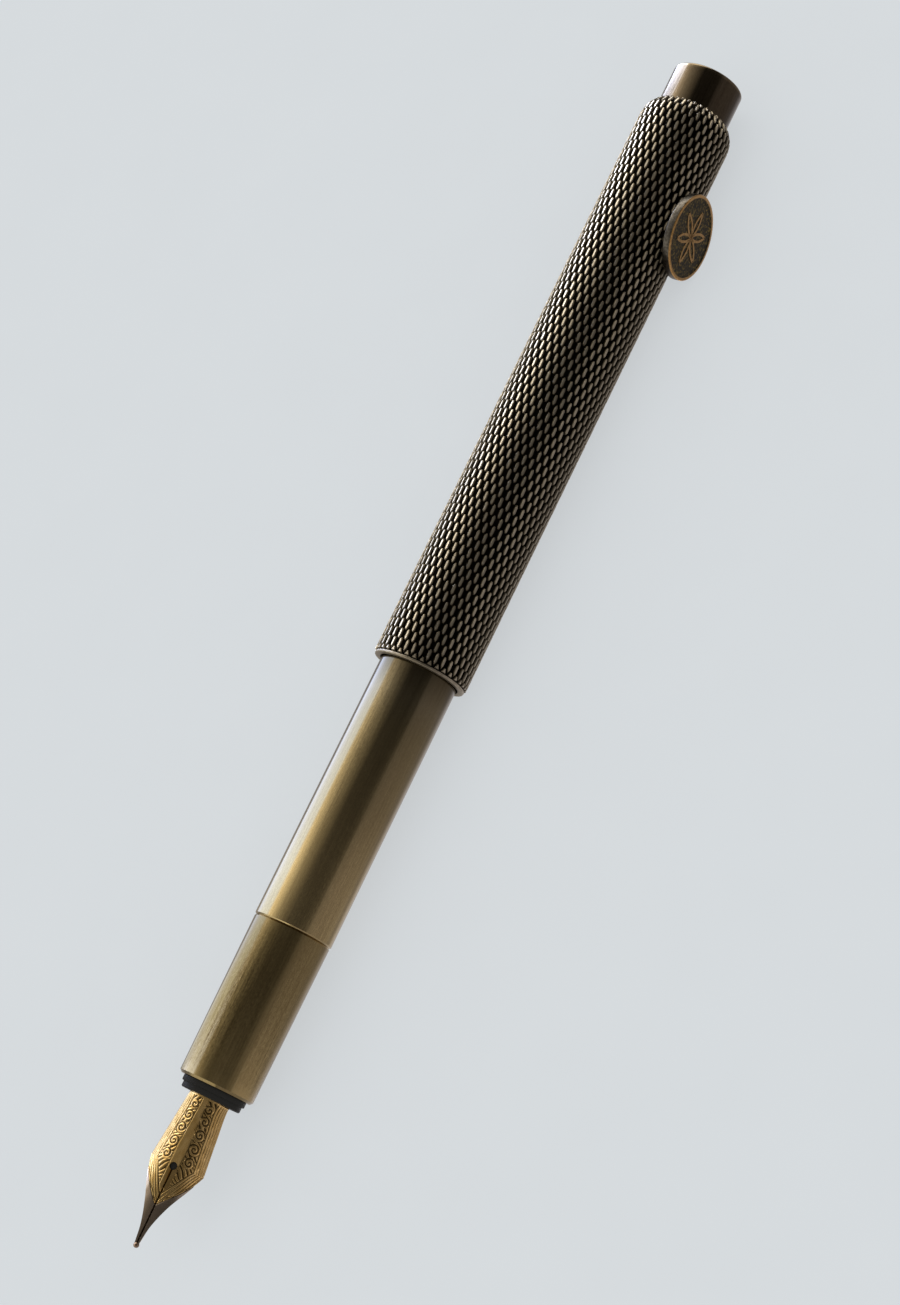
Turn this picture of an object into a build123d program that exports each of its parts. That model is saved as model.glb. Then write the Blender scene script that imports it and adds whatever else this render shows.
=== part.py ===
from build123d import *
import math
import os

# A fountain pen with its cap posted on the barrel, lying on a desk.
#
# The pen lies along X with its nib towards -X. It rests on the knurled cap and on the rim of
# the roll stop, the coin that stands off the cap on the -Y side. A position along the pen is a
# station: its distance from the nib's tip. Every turned piece is drawn about the X axis with
# stations for X, and place() then moves it to where the pen's axis lies. Sizes are millimetres.

# Lengths that can be seen from outside, from the nib's tip to the finial's end
NIB_OUT = 18.5
FLANGE_LENGTH = 1.4
SECTION_LENGTH = 20.0
BARREL_BARE = 34.0
CAP_LENGTH = 78.6
FINIAL_OUT = 5.0

# The barrel is this long over its end plug, and most of it hides in the posted cap
BARREL_LENGTH = 85.0

# Radii of the outside
CAP_R = 6.0
BARREL_R = 4.9
SECTION_REAR_R = 4.8
SECTION_FRONT_R = 4.65
FINIAL_R = 4.6
FLANGE_REAR_R = 3.95
FLANGE_FRONT_R = 3.7
NIB_R = 2.5
STOP_R = 5.35
STOP_THICK = 1.0
STOP_FACE_R = 7.46

# Radii of the bores
CAP_BORE_R = 5.05
BARREL_BORE_R = 4.1
CORE_R = 3.95
CORE_BORE_R = 3.35
HOUSING_BORE_R = 2.52
THREAD_R = 3.7
INK_R = 2.3
TUBE_R = 2.9

# Running clearance on a radius, between pieces that turn or slide in each other
CLEARANCE = 0.05
# Gap between end faces of pieces that screw up against each other
FACE_GAP = 0.02

# The nib's top is turned this far from straight up, towards the roll stop
NIB_ROLL = 25.0
NIB_THICK = 0.3
BREATHER_R = 0.45
BREATHER_STATION = 10.0
SHOULDER_STATION = 10.2
SHOULDER_HALF = 3.35
SLIT = 0.1
TIPPING_R = 0.35
# Height of the nib's upper side over the axis at its tip: the tines droop towards the paper
TIP_HEIGHT = 1.7
# The tines' ends stop inside the tipping, at this station and half width
TINE_END = 0.4
TINE_HALF = 0.25

# Stations worked out from the lengths
FLANGE_AT = NIB_OUT
SECTION_AT = FLANGE_AT + FLANGE_LENGTH
JOINT_AT = SECTION_AT + SECTION_LENGTH
MOUTH_AT = JOINT_AT + BARREL_BARE
CAP_TOP_AT = MOUTH_AT + CAP_LENGTH
LENGTH = CAP_TOP_AT + FINIAL_OUT
BARREL_END_AT = JOINT_AT + BARREL_LENGTH
STOP_AT = MOUTH_AT + 62.8

# The roll stop's rim and the cap's knurl touch the desk together, which sets how far the
# stop's face looks below the horizontal
RIM_REACH = math.hypot(STOP_FACE_R, STOP_R)
STOP_DROP = math.degrees(math.asin(CAP_R / RIM_REACH) - math.atan2(STOP_R, STOP_FACE_R))

# The axis lies at the height of the cap's radius, and the origin is below the middle of the
# pen's box, so the axis stands off it by half the difference between stop and cap
STOP_REACH = (STOP_FACE_R * math.cos(math.radians(STOP_DROP))
              + STOP_R * math.sin(math.radians(STOP_DROP)))
AXIS_Y = (STOP_REACH - CAP_R) / 2
AXIS_Z = CAP_R


def turned(*outline):
    """A solid turned about the axis from corners of (station, radius)."""
    return revolve(make_face(Polyline(*outline, close=True)), Axis.X)


def tube(start, end, outer, inner):
    """A plain tube from one station to another."""
    return turned((start, inner), (end, inner), (end, outer), (start, outer))


def rod(start, end, radius):
    """A plain cylinder from one station to another."""
    return turned((start, 0), (end, 0), (end, radius), (start, radius))


def o_ring(station, inner, outer):
    """A round-section ring about the axis."""
    cord = (outer - inner) / 2
    return Pos(station, 0, 0) * Rot(0, 90, 0) * Torus(inner + cord, cord)


def circle_at(solid, station, radius):
    """The circular edges of a turned solid at one station and radius."""
    circles = solid.edges().filter_by(GeomType.CIRCLE)
    return [edge for edge in circles
            if abs(edge.arc_center.X - station) < 0.01 and abs(edge.radius - radius) < 0.01]


def place(solid):
    """Move a solid from its drawing place to where the pen's axis lies."""
    return Pos(-LENGTH / 2, AXIS_Y, AXIS_Z) * solid


# ---------------------------------------------------------------- grip section

CORE_AT = SECTION_AT + 1.5
CORE_NECK_R = 3.4
CORE_NECK_LENGTH = 1.1
THREAD_LENGTH = 6.5
CORE_END_AT = JOINT_AT + CORE_NECK_LENGTH + THREAD_LENGTH
GASKET_SEAT_R = 3.58
GASKET_SEAT = 0.75


def section_shell():
    """Brass grip, a little slimmer at the nib, with a bore for the core."""
    front_chamfer = 0.3
    rear_chamfer = 0.12
    return turned(
        (SECTION_AT, GASKET_SEAT_R),
        (SECTION_AT + GASKET_SEAT, GASKET_SEAT_R),
        (SECTION_AT + GASKET_SEAT, CORE_BORE_R),
        (CORE_AT, CORE_BORE_R),
        (CORE_AT, CORE_R),
        (JOINT_AT, CORE_R),
        (JOINT_AT, SECTION_REAR_R - rear_chamfer),
        (JOINT_AT - rear_chamfer, SECTION_REAR_R),
        (SECTION_AT + front_chamfer, SECTION_FRONT_R),
        (SECTION_AT, SECTION_FRONT_R - front_chamfer))


def section_core():
    """Black moulded sleeve in the grip. Its tail is the thread that the barrel screws on."""
    neck_end = JOINT_AT + CORE_NECK_LENGTH
    return turned(
        (CORE_AT, CORE_BORE_R),
        (CORE_END_AT, CORE_BORE_R),
        (CORE_END_AT, THREAD_R - 0.25),
        (CORE_END_AT - 0.3, THREAD_R),
        (neck_end, THREAD_R),
        (neck_end, CORE_NECK_R),
        (JOINT_AT, CORE_NECK_R),
        (JOINT_AT, CORE_R),
        (CORE_AT, CORE_R))


def section_o_ring():
    """Seal in the core's neck, under the front edge of the barrel."""
    return o_ring(JOINT_AT + CORE_NECK_LENGTH / 2, CORE_NECK_R + 0.01, THREAD_R)


# -------------------------------------------------------------------- nib unit

HOUSING_THREAD_R = CORE_BORE_R - CLEARANCE
HOUSING_NECK_R = 3.0
HOUSING_WALL_AT = 30.0
HOUSING_END_AT = 31.5
NIPPLE_R = 1.25
NIPPLE_END_AT = 36.5
INK_HOLE_R = 0.6
FEED_R = NIB_R - NIB_THICK - 0.02


def nib_housing():
    """Black collar that screws into the grip and holds nib and feed. It ends in a nipple."""
    tier_at = FLANGE_AT + FLANGE_LENGTH / 2
    neck_end = SECTION_AT + GASKET_SEAT
    flange_back = SECTION_AT - FACE_GAP
    return turned(
        (FLANGE_AT, HOUSING_BORE_R),
        (HOUSING_WALL_AT, HOUSING_BORE_R),
        (HOUSING_WALL_AT, INK_HOLE_R),
        (NIPPLE_END_AT, INK_HOLE_R),
        (NIPPLE_END_AT, NIPPLE_R),
        (HOUSING_END_AT, NIPPLE_R),
        (HOUSING_END_AT, HOUSING_THREAD_R),
        (neck_end, HOUSING_THREAD_R),
        (neck_end, HOUSING_NECK_R),
        (flange_back, HOUSING_NECK_R),
        (flange_back, FLANGE_REAR_R),
        (tier_at, FLANGE_REAR_R),
        (tier_at, FLANGE_FRONT_R),
        (FLANGE_AT, FLANGE_FRONT_R))


def nib_gasket():
    """Small seal behind the housing's flange."""
    return o_ring(SECTION_AT + GASKET_SEAT / 2, HOUSING_NECK_R + 0.01, GASKET_SEAT_R - 0.02)


NIB_TAIL_AT = 28.0


def nib_plan():
    """Outline of the nib seen from above: heel, body, shoulders and tines."""
    tail = Line((NIB_TAIL_AT, NIB_R), (NIB_OUT, NIB_R))
    body = Spline((NIB_OUT, NIB_R), (14.5, 2.88), (SHOULDER_STATION, SHOULDER_HALF))
    tine = Spline((SHOULDER_STATION, SHOULDER_HALF), (8.2, 2.66), (5.5, 1.46), (2.8, 0.6),
                  (TINE_END, TINE_HALF))
    side = tail + body + tine
    heel = Line((NIB_TAIL_AT, NIB_R), (NIB_TAIL_AT, -NIB_R))
    tip = Line((TINE_END, TINE_HALF), (TINE_END, -TINE_HALF))
    return make_face(Curve() + side + heel + tip + mirror(side, Plane.XZ))


def nib_form(inset):
    """The arched block whose upper side is the nib's. inset makes its inner side."""
    shoulder_r = 3.5
    tip_r = 3.8
    rings = [(NIB_TAIL_AT, NIB_R, NIB_R), (NIB_OUT, NIB_R, NIB_R),
             (SHOULDER_STATION, shoulder_r, NIB_R), (0, tip_r, TIP_HEIGHT)]
    discs = [Plane.YZ.offset(station) * Pos(0, top - radius) * Circle(radius - inset)
             for station, radius, top in rings]
    return Part() + [loft([front, back]) for front, back in zip(discs, discs[1:])]


def nib():
    """Bent sheet of gold-plated steel: its plan cut from an arched sheet, with hole and slit."""
    sheet = nib_form(0) - nib_form(NIB_THICK)
    upper_half = Pos(NIB_TAIL_AT / 2, 0, 5) * Box(NIB_TAIL_AT + 1, 12, 10)
    blank = sheet & extrude(nib_plan(), 5, both=True) & upper_half
    hole = Pos(BREATHER_STATION, 0, 3) * Cylinder(BREATHER_R, 4)
    slit = Pos(BREATHER_STATION / 2, 0, 2) * Box(BREATHER_STATION, SLIT, 6)
    return blank - hole - slit - nib_tipping()


def nib_tipping():
    """Hard pellet that touches the paper, under the tines' ends."""
    return Pos(TIPPING_R, 0, TIP_HEIGHT - TIPPING_R * 0.6) * Sphere(TIPPING_R)


def feed():
    """Black finned ink feed under the nib."""
    fin_gap = 0.35
    fin_pitch = 0.8
    fin_count = 9
    nose_at = 5.5
    nose_r = 1.0
    nose_end = 9.5
    nose = turned((nose_at, 0), (nose_at, nose_r), (nose_end, FEED_R), (nose_end, 0))
    stem = rod(nose_end, HOUSING_WALL_AT, FEED_R)
    lower_half = Pos((FLANGE_AT + HOUSING_WALL_AT) / 2, 0, -2) * Box(
        HOUSING_WALL_AT - FLANGE_AT, 6, 4)
    heel = rod(FLANGE_AT, HOUSING_WALL_AT, HOUSING_BORE_R) & lower_half
    body = nose + stem + heel
    for number in range(fin_count):
        station = nose_end + 1.2 + number * fin_pitch
        body -= Pos(station, 0, -1.9) * Box(fin_gap, 6, 2.6)
    return body


# ---------------------------------------------------------------------- barrel

PLUG_NECK_R = 4.2
PLUG_NECK_AT = BARREL_END_AT - 3.0
PLUG_FLANGE_AT = BARREL_END_AT - 1.6
BUSH_AT = JOINT_AT + CORE_NECK_LENGTH + 0.3


def barrel_tube():
    """Drawn brass tube with small chamfers."""
    front_chamfer = 0.22
    start = JOINT_AT + FACE_GAP
    return turned(
        (start, BARREL_BORE_R),
        (PLUG_NECK_AT, BARREL_BORE_R),
        (PLUG_NECK_AT, BARREL_R),
        (start + front_chamfer, BARREL_R),
        (start, BARREL_R - front_chamfer))


def barrel_washer():
    """Thin loose ring between grip and bush, wide enough to pass over the core's thread."""
    end_gap = 0.1
    return tube(JOINT_AT + end_gap, BUSH_AT - end_gap, BARREL_BORE_R - 0.02, THREAD_R + 0.06)


def barrel_thread_bush():
    """Threaded brass ring soldered in the barrel's front."""
    return tube(BUSH_AT, CORE_END_AT, BARREL_BORE_R, THREAD_R + CLEARANCE)


def barrel_end_plug():
    """Turned plug that closes the barrel and leaves a groove for the posting ring."""
    plug = turned(
        (PLUG_NECK_AT - 4, 0),
        (BARREL_END_AT, 0),
        (BARREL_END_AT, BARREL_R),
        (PLUG_FLANGE_AT, BARREL_R),
        (PLUG_FLANGE_AT, PLUG_NECK_R),
        (PLUG_NECK_AT, PLUG_NECK_R),
        (PLUG_NECK_AT, BARREL_BORE_R),
        (PLUG_NECK_AT - 4, BARREL_BORE_R))
    return fillet(circle_at(plug, BARREL_END_AT, BARREL_R), 0.5)


def posting_o_ring():
    """Ring round the barrel's end that steadies it in the posted cap."""
    middle = (PLUG_NECK_AT + PLUG_FLANGE_AT) / 2
    return o_ring(middle, PLUG_NECK_R + 0.01, BARREL_R + 0.02)


# ------------------------------------------------------------------- converter

SOCKET_AT = HOUSING_END_AT + 0.3
SOCKET_R = CORE_BORE_R - 0.1
SOCKET_SHELF_AT = 37.2
SOCKET_END_AT = 41.0
PISTON_AT = 41.0
PISTON_LENGTH = 4.0
PISTON_STROKE = 18.0
CARRIER_LENGTH = 18.5
CARRIER_R = 1.9
SPINDLE_R = 0.9
COLLAR_AT = 62.0
COLLAR_R = 3.25
TUBE_END_AT = 70.0
COLLAR_WALL_AT = PISTON_AT + PISTON_LENGTH + CARRIER_LENGTH + PISTON_STROKE + 0.3
COLLAR_END_AT = COLLAR_WALL_AT + 1.0
KNOB_NECK_R = 1.3
KNOB_R = 2.9
KNOB_AT = COLLAR_END_AT + 0.2
KNOB_END_AT = KNOB_AT + 9.0


def converter_socket():
    """Black mouth of the converter, which pushes on to the housing's nipple."""
    return turned(
        (SOCKET_AT, NIPPLE_R + CLEARANCE),
        (SOCKET_SHELF_AT, NIPPLE_R + CLEARANCE),
        (SOCKET_SHELF_AT, TUBE_R),
        (SOCKET_END_AT, TUBE_R),
        (SOCKET_END_AT, SOCKET_R),
        (SOCKET_AT + 0.3, SOCKET_R),
        (SOCKET_AT, SOCKET_R - 0.3))


def converter_tube():
    """Clear ink reservoir."""
    return tube(SOCKET_SHELF_AT, TUBE_END_AT, TUBE_R, INK_R)


def converter_collar():
    """Bright metal band over the tube's end, with the wall that the knob turns in."""
    return turned(
        (COLLAR_AT, TUBE_R),
        (TUBE_END_AT, TUBE_R),
        (TUBE_END_AT, INK_R),
        (COLLAR_WALL_AT, INK_R),
        (COLLAR_WALL_AT, KNOB_NECK_R + CLEARANCE),
        (COLLAR_END_AT, KNOB_NECK_R + CLEARANCE),
        (COLLAR_END_AT, COLLAR_R),
        (COLLAR_AT, COLLAR_R))


def converter_knob():
    """Knob that the fingers turn to fill the pen."""
    knob = turned(
        (COLLAR_WALL_AT + 0.1, SPINDLE_R),
        (KNOB_AT + 3, SPINDLE_R),
        (KNOB_AT + 3, 0),
        (KNOB_END_AT, 0),
        (KNOB_END_AT, KNOB_R),
        (KNOB_AT, KNOB_R),
        (KNOB_AT, KNOB_NECK_R),
        (COLLAR_WALL_AT + 0.1, KNOB_NECK_R))
    return fillet(circle_at(knob, KNOB_END_AT, KNOB_R), 0.5)


def converter_spindle():
    """Screw that the knob turns. It draws the carrier back without moving itself."""
    start = PISTON_AT + PISTON_LENGTH + PISTON_STROKE + 0.2
    return rod(start, KNOB_AT + 3, SPINDLE_R)


def piston_carrier():
    """Hollow stem that runs on the spindle and pulls the piston."""
    start = PISTON_AT + PISTON_LENGTH
    return tube(start, start + CARRIER_LENGTH, CARRIER_R, SPINDLE_R + CLEARANCE)


def piston_seal():
    """Rubber piston with two lips."""
    lip_r = INK_R - 0.02
    waist_r = 1.8
    lip = 1.1
    end = PISTON_AT + PISTON_LENGTH
    return turned(
        (PISTON_AT, 0), (end, 0), (end, lip_r), (end - lip, lip_r), (end - lip, waist_r),
        (PISTON_AT + lip, waist_r), (PISTON_AT + lip, lip_r), (PISTON_AT, lip_r))


# ------------------------------------------------------------------------- cap

SHOULDER_AT = CAP_TOP_AT - 2.6
SHOULDER_TOP_R = 4.7
CLUTCH_AT = MOUTH_AT + 2.0
CLUTCH_LENGTH = 2.2
CLUTCH_R = 5.42
LINER_AT = BARREL_END_AT + 0.1
LINER_BORE_R = 4.2
FINIAL_FLANGE = 1.5
LINER_END_AT = SHOULDER_AT - FINIAL_FLANGE
POST_R = 1.5


def off_the_cap(inner, outer, radius):
    """A cylinder on the roll stop's own axis, between two distances from the pen's axis."""
    middle = (inner + outer) / 2
    stub = Pos(0, -middle, 0) * Rot(90, 0, 0) * Cylinder(radius, outer - inner)
    return Pos(STOP_AT, 0, 0) * Rot(STOP_DROP, 0, 0) * stub


def cap_sleeve():
    """Brass sleeve with a round shoulder. Its radius is the one over the knurl's crests."""
    lip_chamfer = 0.15
    bore = Polyline(
        (CAP_TOP_AT, SHOULDER_TOP_R), (CAP_TOP_AT, FINIAL_R), (SHOULDER_AT, FINIAL_R),
        (SHOULDER_AT, CAP_BORE_R), (CLUTCH_AT + CLUTCH_LENGTH, CAP_BORE_R),
        (CLUTCH_AT + CLUTCH_LENGTH, CLUTCH_R + 0.02), (CLUTCH_AT, CLUTCH_R + 0.02),
        (CLUTCH_AT, CAP_BORE_R), (MOUTH_AT, CAP_BORE_R), (MOUTH_AT, CAP_R - lip_chamfer),
        (MOUTH_AT + lip_chamfer, CAP_R), (SHOULDER_AT, CAP_R))
    shoulder = TangentArc((SHOULDER_AT, CAP_R), (CAP_TOP_AT, SHOULDER_TOP_R), tangent=(1, 0))
    return revolve(make_face(bore + shoulder), Axis.X) - off_the_cap(5, 7, POST_R)


def cap_clutch_ring():
    """Split spring ring in the cap's mouth that rubs on the barrel."""
    ring = tube(CLUTCH_AT + 0.05, CLUTCH_AT + CLUTCH_LENGTH - 0.05, CLUTCH_R, BARREL_R + 0.03)
    split = Pos(CLUTCH_AT + CLUTCH_LENGTH / 2, 0, -5) * Box(4, 1.2, 2)
    return ring - split


def cap_liner():
    """Black inner cap that keeps the nib moist. Its rim stops the posted barrel."""
    wall = 1.2
    return turned(
        (LINER_AT, LINER_BORE_R),
        (LINER_END_AT - wall, LINER_BORE_R),
        (LINER_END_AT - wall, 0),
        (LINER_END_AT, 0),
        (LINER_END_AT, CAP_BORE_R),
        (LINER_AT, CAP_BORE_R))


def cap_finial():
    """Plain brass stub that stands out of the cap's end. Its flange seats inside."""
    finial = turned(
        (LINER_END_AT, 0),
        (LENGTH, 0),
        (LENGTH, FINIAL_R),
        (SHOULDER_AT, FINIAL_R),
        (SHOULDER_AT, CAP_BORE_R),
        (LINER_END_AT, CAP_BORE_R))
    return fillet(circle_at(finial, LENGTH, FINIAL_R), 0.35)


def roll_stop_post():
    """Rivet between the cap's wall and the roll stop."""
    return off_the_cap(CAP_BORE_R + 0.1, STOP_FACE_R - STOP_THICK, POST_R)


def roll_stop_disc():
    """Coin that stands off the cap, with a raised rim round its face."""
    rim_width = 0.4
    rim_height = 0.1
    coin = off_the_cap(STOP_FACE_R - STOP_THICK, STOP_FACE_R, STOP_R)
    return coin - off_the_cap(STOP_FACE_R - rim_height, STOP_FACE_R + 1, STOP_R - rim_width)


# ---------------------------------------------------------------------- output

def rolled(solid):
    """Turn the nib's pieces about the axis to the nib's own attitude."""
    return Rot(NIB_ROLL, 0, 0) * solid


NODES = {
    "section_shell": section_shell(),
    "section_core": section_core(),
    "section_o_ring": section_o_ring(),
    "nib_gasket": nib_gasket(),
    "nib_housing": nib_housing(),
    "nib": rolled(nib()),
    "nib_tipping": rolled(nib_tipping()),
    "feed": rolled(feed()),
    "barrel_tube": barrel_tube(),
    "barrel_washer": barrel_washer(),
    "barrel_thread_bush": barrel_thread_bush(),
    "barrel_end_plug": barrel_end_plug(),
    "posting_o_ring": posting_o_ring(),
    "converter_socket": converter_socket(),
    "converter_tube": converter_tube(),
    "converter_collar": converter_collar(),
    "converter_knob": converter_knob(),
    "converter_spindle": converter_spindle(),
    "piston_carrier": piston_carrier(),
    "piston_seal": piston_seal(),
    "cap_sleeve": cap_sleeve(),
    "cap_clutch_ring": cap_clutch_ring(),
    "cap_liner": cap_liner(),
    "cap_finial": cap_finial(),
    "roll_stop_post": roll_stop_post(),
    "roll_stop_disc": roll_stop_disc(),
}

os.makedirs("parts", exist_ok=True)
for name, solid in NODES.items():
    export_step(place(solid), f"parts/{name}.step")

print(f"length {LENGTH:.1f}, axis at y {AXIS_Y:.3f}, z {AXIS_Z:.1f}, stop drops {STOP_DROP:.2f} deg")
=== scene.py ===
# %% [markdown]
# # A brass fountain pen with its cap posted
# The pen lies on a pale desk, nib to the left. Its design, sizes and joints come from a packed
# CAD model, which is loaded first and never changed. Blender adds what CAD leaves out: the
# knurl, the engraved nib, the threads and the finish of every surface.

# %% Load the frame
import math

import bmesh
import bpy
from mathutils import Matrix, Vector


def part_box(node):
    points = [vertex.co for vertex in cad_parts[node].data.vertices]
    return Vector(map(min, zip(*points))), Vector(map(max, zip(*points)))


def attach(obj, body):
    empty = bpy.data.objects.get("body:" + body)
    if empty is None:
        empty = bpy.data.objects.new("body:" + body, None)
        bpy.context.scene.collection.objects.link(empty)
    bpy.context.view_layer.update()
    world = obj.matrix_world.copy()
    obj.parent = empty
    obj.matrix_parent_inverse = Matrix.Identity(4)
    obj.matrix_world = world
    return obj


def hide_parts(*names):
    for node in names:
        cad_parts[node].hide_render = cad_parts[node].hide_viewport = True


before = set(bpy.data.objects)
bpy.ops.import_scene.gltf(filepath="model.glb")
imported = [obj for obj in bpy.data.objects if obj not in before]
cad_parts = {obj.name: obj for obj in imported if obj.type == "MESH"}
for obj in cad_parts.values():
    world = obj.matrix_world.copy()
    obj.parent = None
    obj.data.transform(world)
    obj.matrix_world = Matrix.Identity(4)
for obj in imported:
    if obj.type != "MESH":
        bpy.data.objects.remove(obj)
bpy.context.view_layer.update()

MM = 0.001

# %% [markdown]
# ## Where things are
# Places are measured from the CAD nodes where they can be. The pen's axis runs along X through
# the middle of the barrel. A position along the pen is a station: its distance from the nib's
# tip, in mm.

# %% Stations along the pen
barrel_low, barrel_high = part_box("barrel_tube")
AXIS_Y = (barrel_low.y + barrel_high.y) / 2
AXIS_Z = (barrel_low.z + barrel_high.z) / 2
TIP_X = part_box("nib_tipping")[0].x
END_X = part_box("cap_finial")[1].x
cap_low, cap_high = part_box("cap_sleeve")
CAP_R = (cap_high.z - cap_low.z) / 2
MOUTH_X = cap_low.x
CAP_TOP_X = cap_high.x


def on_axis(x):
    """The point of the pen's axis at x."""
    return Vector((x, AXIS_Y, AXIS_Z))


def from_tip(station):
    """The X of a station, given in millimetres from the nib's tip."""
    return TIP_X + station * MM


print("axis at y %.2f mm, z %.2f mm" % (AXIS_Y / MM, AXIS_Z / MM))
print("pen is %.1f mm long" % ((END_X - TIP_X) / MM))

# %% [markdown]
# ## Small tools
# An operator acts on all that is selected, so each piece starts with nothing selected. Once it
# stands where it belongs, its place goes into its mesh.

# %% Start and settle a piece


def start_clean():
    """Leave edit mode and select nothing."""
    if bpy.context.mode != "OBJECT":
        bpy.ops.object.mode_set(mode="OBJECT")
    bpy.ops.object.select_all(action="DESELECT")


def take_up(piece):
    """Select one piece alone and make it the active one."""
    start_clean()
    piece.select_set(True)
    bpy.context.view_layer.objects.active = piece


def settle(name):
    """Name the active object and put its place into its mesh."""
    piece = bpy.context.object
    piece.name = name
    piece.data.name = name
    bpy.ops.object.transform_apply(location=True, rotation=True, scale=True)
    return piece


# %% [markdown]
# Parts of a mesh are picked by a test, mostly on their place or direction, so a change of one
# size doesn't upset the steps after it.

# %% Pick parts of a mesh


def pick(piece, part, test):
    """In edit mode, select only the vertices, edges or faces that pass a test."""
    mesh = bmesh.from_edit_mesh(piece.data)
    bpy.ops.mesh.select_all(action="DESELECT")
    bpy.context.tool_settings.mesh_select_mode = (part == "verts", part == "edges",
                                                  part == "faces")
    for element in getattr(mesh, part):
        if test(element):
            element.select_set(True)
    mesh.select_flush_mode()
    bmesh.update_edit_mesh(piece.data)


def middle(element):
    """The middle of an edge or face."""
    return sum((vert.co for vert in element.verts), Vector()) / len(element.verts)


def radius_of(point):
    """Distance of a point from the pen's axis."""
    return math.hypot(point.y - AXIS_Y, point.z - AXIS_Z)


def move_out(vert, reach, new_reach):
    """Move a point straight out from the axis, from one distance to another."""
    vert.co.y = AXIS_Y + (vert.co.y - AXIS_Y) * new_reach / reach
    vert.co.z = AXIS_Z + (vert.co.z - AXIS_Z) * new_reach / reach


# %% [markdown]
# A finished piece is closed, with its faces outwards. It rides on the body that moves it, and
# it takes the place of the CAD node it stands for.

# %% Finish a piece


def apply_modifier(piece, kind, **settings):
    """Add a modifier, set it and apply it."""
    take_up(piece)
    modifier = piece.modifiers.new(kind, kind)
    for key, value in settings.items():
        setattr(modifier, key, value)
    bpy.ops.object.modifier_apply(modifier=modifier.name)


def finish_piece(piece, body, slot, *nodes):
    """Close a piece: faces outwards, then its ride and the CAD nodes it stands for. The slot is
    not used.
    """
    take_up(piece)
    bpy.ops.object.mode_set(mode="EDIT")
    bpy.ops.mesh.select_all(action="SELECT")
    bpy.ops.mesh.remove_doubles(threshold=0.000001)
    bpy.ops.mesh.normals_make_consistent(inside=False)
    bpy.ops.object.mode_set(mode="OBJECT")
    bpy.ops.object.select_all(action="DESELECT")
    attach(piece, body)
    if nodes:
        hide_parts(*nodes)
    print(piece.name, len(piece.data.polygons), "faces")
    return piece


def smooth(piece, degrees):
    """Shade smooth, with sharp edges past an angle."""
    take_up(piece)
    bpy.ops.object.shade_smooth_by_angle(angle=math.radians(degrees))
    bpy.ops.object.select_all(action="DESELECT")


# %% [markdown]
# Round work is made like on a lathe: a ring of edges is extruded from corner to corner.

# %% Extrude along an outline


def next_ring(x_from, r_from, x_to, r_to):
    """Extrude the selected ring of edges to another place and radius about the axis."""
    bpy.ops.mesh.extrude_edges_move(TRANSFORM_OT_translate={"value": (x_to - x_from, 0, 0)})
    grow = r_to / r_from
    bpy.ops.transform.resize(value=(1, grow, grow), center_override=on_axis(x_to))


def follow_outline(corners):
    """Extrude the selected ring along a list of (x, radius), as a lathe's tool moves."""
    for (x_from, r_from), (x_to, r_to) in zip(corners, corners[1:]):
        next_ring(x_from, r_from, x_to, r_to)


# %% [markdown]
# ## The camera
# A long lens looks down on the pen from the roll stop's side. The nib is a little nearer than
# the cap, and the camera is rolled so that the cap's end points up to the right.

# %% Camera
LENS = 77.2
SENSOR = 36.0
NEAREST = 0.01
CAMERA_DISTANCE = 0.3266
CAMERA_STATION = 11.6
CAMERA_HEIGHT = math.radians(54.8)
CAMERA_LEAN = math.radians(11.48)
CAMERA_AIM = math.radians(0.38)
CAMERA_ROLL = math.radians(26.12)

along = Vector((1, 0, 0))
towards = Vector((0, -math.cos(CAMERA_HEIGHT), math.sin(CAMERA_HEIGHT)))
upward = along * math.cos(CAMERA_LEAN) + towards * math.sin(CAMERA_LEAN)
back = towards * math.cos(CAMERA_LEAN) - along * math.sin(CAMERA_LEAN)
right = upward.cross(back)
facing = back * math.cos(CAMERA_AIM) - right * math.sin(CAMERA_AIM)
right = upward.cross(facing)
rolled_right = right * math.cos(CAMERA_ROLL) + upward * math.sin(CAMERA_ROLL)
rolled_up = facing.cross(rolled_right)

camera_data = bpy.data.cameras.new("camera")
camera_data.lens = LENS
camera_data.sensor_width = SENSOR
camera_data.clip_start = NEAREST
camera = bpy.data.objects.new("camera", camera_data)
bpy.context.scene.collection.objects.link(camera)
turn = Matrix((rolled_right, rolled_up, facing)).transposed().to_4x4()
place = on_axis(from_tip(CAMERA_STATION)) + towards * CAMERA_DISTANCE
camera.matrix_world = Matrix.Translation(place) @ turn
bpy.context.scene.camera = camera
print("camera at", [round(v / MM) for v in place], "mm")

# %% [markdown]
# ## The knurled cap
# The cap is gripped by a diamond knurl: two sets of slanting grooves that a wheel rolls into
# the brass, leaving raised diamonds, each longer than wide. It could be a bump texture, but the
# diamonds show in the outline and hide each other near the edge, so they are real faces. A tube
# of squares is poked, and dissolving the squares' own edges leaves only the slanting ones. The
# knurl runs on over the cap's round shoulder, so the tube is longer by the shoulder's arc.

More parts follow.
